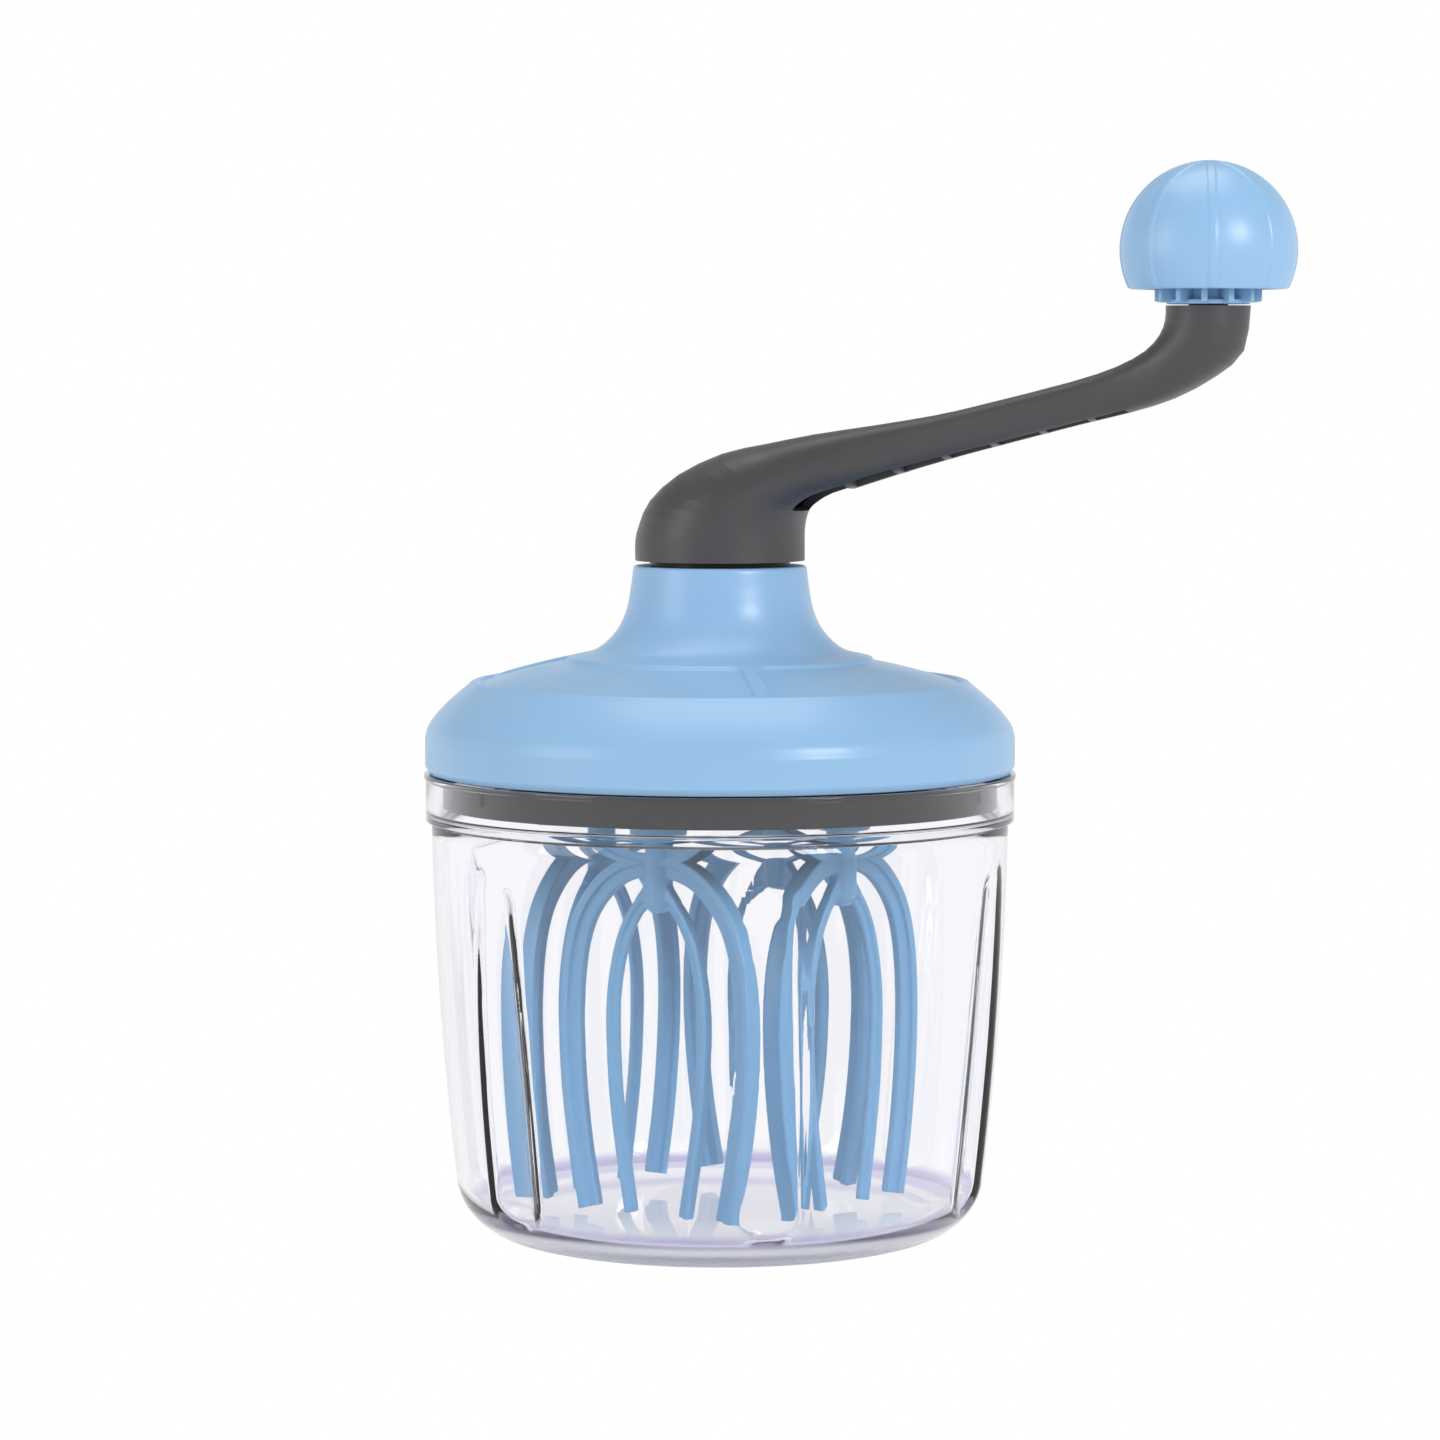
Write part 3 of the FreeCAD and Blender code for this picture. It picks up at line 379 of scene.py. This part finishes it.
def make_lid():
    dome = dome_line()
    start = rounded([(LID_R - 3.2, LID_LOW + 2, 0), (LID_R - 2.2, LID_LOW, 0.3), (LID_R - 1, LID_LOW, 0.4),
                     (LID_R, LID_LOW + 1.6, 0.8), (LID_R, 118.0, 0)])
    top = [(NECK_R - 0.2, LID_TOP - 0.2), (NECK_R - 0.7, LID_TOP), (BOSS_HOLE_R, LID_TOP),
           (BOSS_HOLE_R, BOSS_LOW), (BOSS_R, BOSS_LOW), (BOSS_R, LID_TOP - 3.5)]
    roof = [(18.2, LID_TOP - 3.5)] + curve([(20.2, 147), (22.6, 142), (27.4, 137), (33, 134.4)], 5)
    roof += curve([(57.6, 128.2), (62.6, 125), (65.8, 121.2), (67.6, 118)], 5)
    outline = start[1:] + dome + top + roof + [(LID_R - 2.4, LID_LOW + 2)]
    return weighted(lathe("lid_shell", outline, LID_SIDES, panelled))


# ---- collar ------------------------------------------------------------------------------------

def make_collar():
    floor = COLLAR_LOW + COLLAR_FLOOR
    outline = rounded([(COLLAR_R, COLLAR_LOW, 0.5), (COLLAR_R, COLLAR_TOP, 0.3),
                       (COLLAR_INNER_R, COLLAR_TOP, 0.3), (COLLAR_INNER_R, floor, 0.3),
                       (COLLAR_HOLE_R, floor, 0.3), (COLLAR_HOLE_R, COLLAR_LOW, 0.4)])
    pieces = [lathe("collar_shell", outline, COLLAR_SIDES)]
    for k in range(SNAPS):
        angle = SNAP_FIRST + 360 * k / SNAPS
        pieces.append(bar("snap", SNAP_SIZE, (*around(COLLAR_R - SNAP_SUNK, angle), SNAP_Z), angle))
    return weighted(join("collar_shell", pieces))


# ---- knob --------------------------------------------------------------------------------------

def seamed(angle, radius, height, row, outside):
    """Raises the thin seams that run over the ball."""
    if row >= outside or radius < 1e-6:
        return radius, height
    pitch = 2 * math.pi / SEAMS
    off = (angle - math.radians(SEAM_FIRST) + pitch / 2) % pitch - pitch / 2
    rise = SEAM_RISE * smooth(SEAM_HALF + 0.25, SEAM_HALF - 0.15, abs(radius * math.sin(off)))
    share = rise / KNOB_R
    return radius * (1 + share), height + (height - KNOB_MIDDLE) * share


def make_knob_ball():
    drop = math.degrees(math.asin((KNOB_CUT - KNOB_MIDDLE) / KNOB_R))
    inner_r = KNOB_R - KNOB_WALL
    inner_drop = math.degrees(math.asin((KNOB_CUT - KNOB_MIDDLE) / inner_r))
    outer = [(max(r, 0), z) for r, z in arc((0, KNOB_MIDDLE), KNOB_R, 90, drop + 1.5, 70)]
    outer[0] = (0, KNOB_MIDDLE + KNOB_R)
    lip = [(outer[-1][0] - 0.15, KNOB_CUT + 0.15), (outer[-1][0] - 0.5, KNOB_CUT)]
    inner = arc((0, KNOB_MIDDLE), inner_r, inner_drop, 90, 30)
    inner[-1] = (0, KNOB_MIDDLE + inner_r)
    obj = lathe("knob_ball", outer + lip + inner, BALL_SIDES, lambda *spot: seamed(*spot, len(outer)),
                closed=False)
    obj.data.transform(Matrix.Translation((POST_X * MM, 0, 0)))
    return obj


def make_knob_fins():
    """Tube round the spigot with a disc inside the ball, and radial fins below the disc."""
    disc_low, disc_top = KNOB_CUT + 0.6, KNOB_CUT + 2.2
    outline = rounded([(SPIGOT_HOLE_R, HUB_LOW, 0.2), (KNOB_RING_R, HUB_LOW, 0.4),
                       (KNOB_RING_R, KNOB_RING_TOP, 0.4), (KNOB_TUBE_R, KNOB_RING_TOP, 0.2),
                       (KNOB_TUBE_R, disc_low, 0.2), (KNOB_DISC_R, disc_low, 0.3),
                       (KNOB_DISC_R, disc_top, 0.3), (KNOB_TUBE_R, disc_top, 0.3),
                       (KNOB_TUBE_R, HUB_TOP, 0.3), (SPIGOT_HOLE_R, HUB_TOP, 0.2)])
    pieces = [lathe("knob_fins", outline, FIN_SIDES)]
    low, high = KNOB_RING_TOP - 0.8, KNOB_CUT + 1
    reach = FIN_R - FIN_IN
    for k in range(FINS):
        angle = FIN_FIRST + 360 * k / FINS
        middle = (*around(FIN_IN + reach / 2, angle), (low + high) / 2)
        pieces.append(bar("fin", (reach, FIN_THICK, high - low), middle, angle, 0.25))
    obj = join("knob_fins", pieces)
    obj.data.transform(Matrix.Translation((POST_X * MM, 0, 0)))
    return weighted(obj)


# ---- whisks ------------------------------------------------------------------------------------

CROTCH_RIM = rounded([(1, 1, 0.3), (-1, 1, 0.3), (-1, -1, 0.3), (1, -1, 0.3)], 3)


def tine(line, section, mirror):
    """A tine of T section along a curved line in the XZ plane, its crossbar outwards."""
    width, crossbar, depth, web = section
    half, soft = width / 2, 0.3
    step = half - crossbar
    corners = [(half, depth / 2), (step, depth / 2), (step, web / 2), (-half, web / 2),
               (-half, -web / 2), (step, -web / 2), (step, -depth / 2), (half, -depth / 2)]
    outline = rounded([(out, side, soft) for out, side in corners], 2)
    path = [Vector((mirror * u, 0, z)) for u, z in curve(line, 10)]
    sections = []
    for k, spot in enumerate(path):
        ahead = (path[min(k + 1, len(path) - 1)] - path[max(k - 1, 0)]).normalized()
        outward = Vector((0, 1, 0)).cross(ahead) * -mirror
        sections.append([spot + outward * out + Vector((0, side, 0)) for out, side in outline])
    return loft("tine", sections)


def make_whisk_mesh():
    """One whisk about the Z axis, its tines in the XZ plane, and its square plug apart."""
    pieces = [tine(OUTER_LINE, OUTER_TINE, side) for side in (1, -1)]
    pieces += [tine(INNER_LINE, INNER_TINE, side) for side in (1, -1)]
    stem = [(0, STEM_LOW - 1.5), (STEM_R - 1.5, STEM_LOW - 1.2), (STEM_R, STEM_LOW + 0.5),
            (STEM_R, SHOULDER_LOW - 2), (STEM_R + 0.6, SHOULDER_LOW), (0, SHOULDER_LOW)]
    pieces.append(lathe("stem", stem, STEM_SIDES, closed=False))
    pieces.append(loft("crotch", [[(half * x, CROTCH_THICK * y, height) for x, y in CROTCH_RIM]
                                  for height, half in CROTCH_ROWS]))
    shoulder = rounded([(0, SHOULDER_LOW, 0), (SHOULDER_R, SHOULDER_LOW, 0.6),
                        (SHOULDER_R, SHOULDER_TOP, 0.4), (0, SHOULDER_TOP, 0)])
    pieces.append(lathe("shoulder", shoulder, SHOULDER_SIDES, closed=False))
    whisk = moulded(join("whisk_master", pieces), MELT_VOXEL, MELT_ROUNDS)
    plug_low = SHOULDER_TOP - 1
    plug = bar("plug", (PLUG, PLUG, WHISK_TOP - plug_low), (0, 0, (WHISK_TOP + plug_low) / 2), FIRST_WHISK)
    return whisk, plug


def make_whisks():
    """Four copies, neighbours a quarter turn apart so that their tines pass between each other."""
    master, plug = make_whisk_mesh()
    made = []
    for number in range(4):
        spot = math.radians(FIRST_WHISK + 90 * number)
        place = Matrix.Translation(Vector((ORBIT_R * math.cos(spot), ORBIT_R * math.sin(spot), 0)) * MM)
        fork = bpy.data.objects.new("fork", master.data.copy())
        fork.data.transform(Matrix.Rotation(math.radians(PADDLE + 90 * (number % 2)), 4, "Z"))
        top = bpy.data.objects.new("top", plug.data.copy())
        for part in (fork, top):
            bpy.context.scene.collection.objects.link(part)
            part.data.transform(place)
        made.append(join("whisk_fork_%d" % (number + 1), [fork, top]))
    for spare in (master, plug):
        bpy.data.objects.remove(spare)
    return made


# ---- materials ---------------------------------------------------------------------------------

def new_material(name):
    material = bpy.data.materials.new(name)
    material.use_nodes = True
    nodes = material.node_tree.nodes
    return material, nodes, material.node_tree.links, nodes["Principled BSDF"]


def noise(nodes, links, scale, detail=2.0):
    """Noise texture in the object's own space."""
    coordinates = nodes.new("ShaderNodeTexCoord")
    texture = nodes.new("ShaderNodeTexNoise")
    texture.inputs["Scale"].default_value = scale
    texture.inputs["Detail"].default_value = detail
    links.new(coordinates.outputs["Object"], texture.inputs["Vector"])
    return texture.outputs["Fac"]


def spread(nodes, links, source, low, high):
    """Maps a noise to a range."""
    scale = nodes.new("ShaderNodeMapRange")
    scale.inputs["To Min"].default_value = low
    scale.inputs["To Max"].default_value = high
    links.new(source, scale.inputs["Value"])
    return scale.outputs["Result"]


MOTTLE_SCALE, GLOSS_SCALE, GRAIN_SCALE = 38.0, 90.0, 900.0   # noise features per metre
UNEVEN = 0.25                                                # share that a roughness strays by
FINE_GRAIN, SATIN_GRAIN = 0.000004, 0.00001                  # height of the moulded grain
GRAIN_STRENGTH = 0.35
PLASTIC_IOR = 1.5


def moulded_plastic(name, colour, roughness, mottle=0.03, grain=FINE_GRAIN, gloss=0.5):
    """Opaque moulded plastic: faint flow mottling, slightly uneven gloss and a fine grain."""
    material, nodes, links, shader = new_material(name)
    cloud = noise(nodes, links, MOTTLE_SCALE, 3.0)
    blend = nodes.new("ShaderNodeMix")
    blend.data_type = "RGBA"
    blend.inputs["A"].default_value = [c * (1 - mottle) for c in colour] + [1]
    blend.inputs["B"].default_value = [min(1, c * (1 + mottle)) for c in colour] + [1]
    links.new(cloud, blend.inputs["Factor"])
    links.new(blend.outputs["Result"], shader.inputs["Base Color"])
    uneven = spread(nodes, links, noise(nodes, links, GLOSS_SCALE), roughness * (1 - UNEVEN),
                    roughness * (1 + UNEVEN))
    links.new(uneven, shader.inputs["Roughness"])
    bump = nodes.new("ShaderNodeBump")
    bump.inputs["Strength"].default_value = GRAIN_STRENGTH
    bump.inputs["Distance"].default_value = grain
    links.new(noise(nodes, links, GRAIN_SCALE), bump.inputs["Height"])
    links.new(bump.outputs["Normal"], shader.inputs["Normal"])
    shader.inputs["IOR"].default_value = PLASTIC_IOR
    shader.inputs["Specular IOR Level"].default_value = gloss
    return material


def ramp(nodes, links, source, start, end, low, high):
    """Takes a value smoothly from low to high as the source goes from start to end."""
    step = nodes.new("ShaderNodeMapRange")
    step.interpolation_type = "SMOOTHSTEP"
    for socket, value in {"From Min": start, "From Max": end, "To Min": low, "To Max": high}.items():
        step.inputs[socket].default_value = value
    links.new(source, step.inputs["Value"])
    return step.outputs["Result"]


def times(nodes, links, first, second):
    """Product of two values."""
    product = nodes.new("ShaderNodeMath")
    product.operation = "MULTIPLY"
    links.new(first, product.inputs[0])
    links.new(second, product.inputs[1])
    return product.outputs["Value"]


# The corner tint is painted shade: a darker violet laid on the clear colour in a band of heights at the
# inner corner.
CLEAR_TINT, CORNER_SHADE_TINT = (0.985, 0.986, 0.998, 1), (0.55, 0.52, 0.76, 1)
CLEAR_IOR = 1.46
ABSORPTION, ABSORPTION_DENSITY = (0.62, 0.60, 0.82, 1), 20.0
MATT, MATT_TOP, MATT_END = 0.55, 0.0010, 0.0035         # roughness of the underside and its heights
SHADE_BAND_RISE, SHADE_BAND_FALL = (0.0054, 0.0062), (0.0075, 0.0100)   # heights of the violet band of painted shade at the inner corner


def clear_plastic(name):
    """Clear styrene, greyer where it is thick, with a violet band of painted shade at the inner corner and a
    matt underside.
    """
    material, nodes, links, shader = new_material(name)
    shader.inputs["Transmission Weight"].default_value = 1.0
    shader.inputs["IOR"].default_value = CLEAR_IOR
    coordinates = nodes.new("ShaderNodeTexCoord")
    split = nodes.new("ShaderNodeSeparateXYZ")
    links.new(coordinates.outputs["Object"], split.inputs["Vector"])
    height = split.outputs["Z"]
    links.new(ramp(nodes, links, height, MATT_TOP, MATT_END, MATT, 0.0), shader.inputs["Roughness"])
    tint = nodes.new("ShaderNodeMix")
    tint.data_type = "RGBA"
    tint.inputs["A"].default_value = CLEAR_TINT
    tint.inputs["B"].default_value = CORNER_SHADE_TINT
    # Painted shade: the colour turns darker and violet in a band of heights at the inner corner.
    painted_shade_band = times(nodes, links, ramp(nodes, links, height, *SHADE_BAND_RISE, 0, 1),
                 ramp(nodes, links, height, *SHADE_BAND_FALL, 1, 0))
    links.new(painted_shade_band, tint.inputs["Factor"])
    links.new(tint.outputs["Result"], shader.inputs["Base Color"])
    absorb = nodes.new("ShaderNodeVolumeAbsorption")
    absorb.inputs["Color"].default_value = ABSORPTION
    absorb.inputs["Density"].default_value = ABSORPTION_DENSITY
    links.new(absorb.outputs["Volume"], nodes["Material Output"].inputs["Volume"])
    return material


STEEL_COLOUR, STEEL_GLOSS, MARKS_SCALE = (0.62, 0.62, 0.64, 1), (0.15, 0.45), 400.0


def turned_steel(name):
    """Bright steel, unevenly polished."""
    material, nodes, links, shader = new_material(name)
    shader.inputs["Base Color"].default_value = STEEL_COLOUR
    shader.inputs["Metallic"].default_value = 1.0
    marks = noise(nodes, links, MARKS_SCALE)
    links.new(spread(nodes, links, marks, *STEEL_GLOSS), shader.inputs["Roughness"])
    return material


BY_SLOT = {
    "blue_plastic": moulded_plastic("blue_plastic", (0.250, 0.445, 0.675), 0.34),
    "whisk_plastic": moulded_plastic("whisk_plastic", (0.125, 0.305, 0.510), 0.36),
    "crank_plastic": moulded_plastic("crank_plastic", (0.046, 0.044, 0.049), 0.42, 0.05, SATIN_GRAIN),
    "dark_plastic": moulded_plastic("dark_plastic", (0.016, 0.015, 0.018), 0.36, 0.05, gloss=0.2),
    "white_acetal": moulded_plastic("white_acetal", (0.82, 0.82, 0.79), 0.42),
    "clear_plastic": clear_plastic("clear_plastic"),
    "steel": turned_steel("steel"),
}


# ---- dressing the frame --------------------------------------------------------------------------

def place(obj, body, slot, *nodes):
    """Puts a visual piece on its body, in place of its CAD nodes, with its slot's material."""
    obj.data.materials.clear()
    obj.data.materials.append(BY_SLOT[slot])
    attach(obj, body)
    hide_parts(*nodes)
    return obj


bowl = place(make_bowl(), "bowl", "clear_plastic", "bowl")
bowl.visible_shadow = False
place(make_lid(), "lid", "blue_plastic", "lid_dome")
place(make_collar(), "lid", "dark_plastic", "collar_ring")
place(make_knob_ball(), "knob", "blue_plastic", "knob_shell")
place(make_knob_fins(), "knob", "blue_plastic", "knob_hub")
for number, fork in enumerate(make_whisks(), 1):
    place(fork, "whisk_%d" % number, "whisk_plastic", "whisk_%d" % number)

SLOT_OF = {part["node"]: part["material_slot"] for part in frame["record"]["subparts"]}
for node, obj in frame["nodes"].items():
    obj.data.materials.clear()
    obj.data.materials.append(BY_SLOT[SLOT_OF[node]])


# ---- studio --------------------------------------------------------------------------------------

VIEW_AZIMUTH = 20.0
CAMERA_FAR, CAMERA_HIGH, CAMERA_PITCH, LENS = 1.161, 0.211, 4.37, 122.5
FLOOR_SIZE, FLOOR_GAP = 60, 0.0002
MIDDLE = (0.02, 0, 0.13)
LIGHTS = [   # name, angle from the viewing direction, distance, height, size, watts
    ("key", 40, 1.1, 0.62, (0.34, 0.34), 6.0),
    ("fill", -62, 1.1, 0.45, (0.50, 0.70), 3.2),
    ("top", 180, 0.2, 1.3, (0.9, 0.9), 6.0),
]
SKY_START, SKY_END, SKY = 0.11, 0.40, 0.42   # how far up the white ends, and the brightness above it
LIGHT_BOUNCES = 32


def beside(azimuth, distance, height):
    """Place at an angle from the viewing direction: positive is to the right."""
    a = math.radians(VIEW_AZIMUTH + azimuth)
    return (distance * math.sin(a), -distance * math.cos(a), height)


def make_floor():
    """White table, lit as evenly as the backdrop."""
    bpy.ops.mesh.primitive_plane_add(size=FLOOR_SIZE, location=(0, 0, -FLOOR_GAP))
    floor = bpy.context.object
    floor.name = "studio_floor"
    material, nodes, links, shader = new_material("studio_floor")
    shader.inputs["Base Color"].default_value = (0.0, 0.0, 0.0, 1)
    shader.inputs["Specular IOR Level"].default_value = 0.0
    shader.inputs["Emission Color"].default_value = (1, 1, 1, 1)
    shader.inputs["Emission Strength"].default_value = 1.0
    floor.data.materials.append(material)


def make_world():
    """White round the horizon, dimmer overhead."""
    world = bpy.data.worlds.new("studio")
    world.use_nodes = True
    nodes, links = world.node_tree.nodes, world.node_tree.links
    coordinates = nodes.new("ShaderNodeTexCoord")
    split = nodes.new("ShaderNodeSeparateXYZ")
    links.new(coordinates.outputs["Generated"], split.inputs["Vector"])
    brightness = ramp(nodes, links, split.outputs["Z"], SKY_START, SKY_END, 1.0, SKY)
    links.new(brightness, nodes["Background"].inputs["Strength"])
    nodes["Background"].inputs["Color"].default_value = (1, 1, 1, 1)
    bpy.context.scene.world = world


def make_light(name, azimuth, distance, height, size, power):
    """Soft rectangular light that faces the object."""
    data = bpy.data.lights.new(name, "AREA")
    data.shape = "RECTANGLE"
    data.size, data.size_y = size
    data.energy = power
    light = bpy.data.objects.new(name, data)
    bpy.context.scene.collection.objects.link(light)
    light.location = beside(azimuth, distance, height)
    light.rotation_euler = (Vector(MIDDLE) - light.location).to_track_quat("-Z", "Y").to_euler()


def make_camera():
    """Long lens far from the object, turned slightly down."""
    data = bpy.data.cameras.new("camera")
    data.sensor_width = 36
    data.lens = LENS
    data.clip_end = 50
    camera = bpy.data.objects.new("camera", data)
    bpy.context.scene.collection.objects.link(camera)
    camera.location = beside(0, CAMERA_FAR, CAMERA_HIGH)
    camera.rotation_euler = (math.radians(90 - CAMERA_PITCH), 0, math.radians(VIEW_AZIMUTH))
    bpy.context.scene.camera = camera


make_floor()
make_world()
make_camera()
for light in LIGHTS:
    make_light(*light)

scene = bpy.context.scene
scene.view_settings.view_transform = "Standard"
scene.cycles.use_denoising = True
scene.cycles.denoising_prefilter = "ACCURATE"
scene.cycles.max_bounces = LIGHT_BOUNCES
scene.cycles.transmission_bounces = LIGHT_BOUNCES
